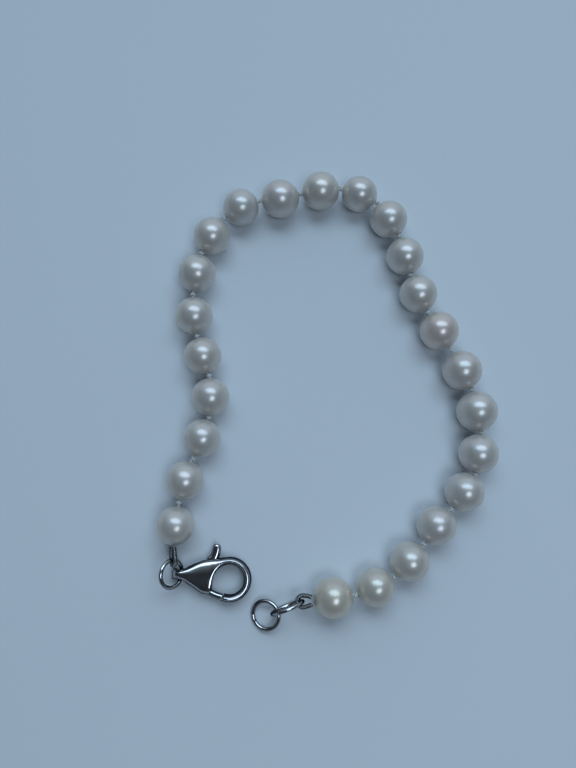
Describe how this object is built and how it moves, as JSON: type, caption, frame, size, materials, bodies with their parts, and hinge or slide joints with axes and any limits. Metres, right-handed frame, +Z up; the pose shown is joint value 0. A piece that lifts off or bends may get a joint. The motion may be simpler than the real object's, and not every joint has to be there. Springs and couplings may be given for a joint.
{
  "type": "pearl bracelet",
  "caption": "Knotted string of round drilled pearls with a wire loop at each end, a lobster clasp on a jump ring and an end ring, laid open on a surface.",
  "frame": {"origin": "middle of the bracelet's bounding box, on the surface that it lies on", "axes": "+Z up from the surface; +Y along the bracelet's longer side, from the clasp towards the far turn of the string; +X to the right seen from above"},
  "size_m": [0.0546, 0.0762, 0.0066],
  "materials": {
    "pearl": "high-lustre white nacre",
    "silk": "knotted pale silk",
    "french_wire": "finely coiled bright wire",
    "white_gold": "polished white metal"
  },
  "bodies": {
    "bracelet": {"pearl_01": "pearl", "pearl_02": "pearl", "pearl_03": "pearl", "pearl_04": "pearl", "pearl_05": "pearl", "pearl_06": "pearl", "pearl_07": "pearl", "pearl_08": "pearl", "pearl_09": "pearl", "pearl_10": "pearl", "pearl_11": "pearl", "pearl_12": "pearl", "pearl_13": "pearl", "pearl_14": "pearl", "pearl_15": "pearl", "pearl_16": "pearl", "pearl_17": "pearl", "pearl_18": "pearl", "pearl_19": "pearl", "pearl_20": "pearl", "pearl_21": "pearl", "pearl_22": "pearl", "pearl_23": "pearl", "pearl_24": "pearl", "silk_thread": "silk", "loop_clasp_end": "french_wire", "jump_ring": "white_gold", "clasp_body": "white_gold", "clasp_rivet": "white_gold", "loop_ring_end": "french_wire", "link": "white_gold", "end_ring": "white_gold"},
    "lever": {"clasp_lever": "white_gold"}
  },
  "joints": [
    {"name": "lever_turn", "type": "hinge", "parent": "bracelet", "child": "lever", "pos_m": [-0.01967, -0.03112, 0.0015], "axis": [0, 0, 1], "range_deg": [0, 22], "stiffness_Nm_per_rad": 0.004, "springref_deg": -20.05}
  ]
}
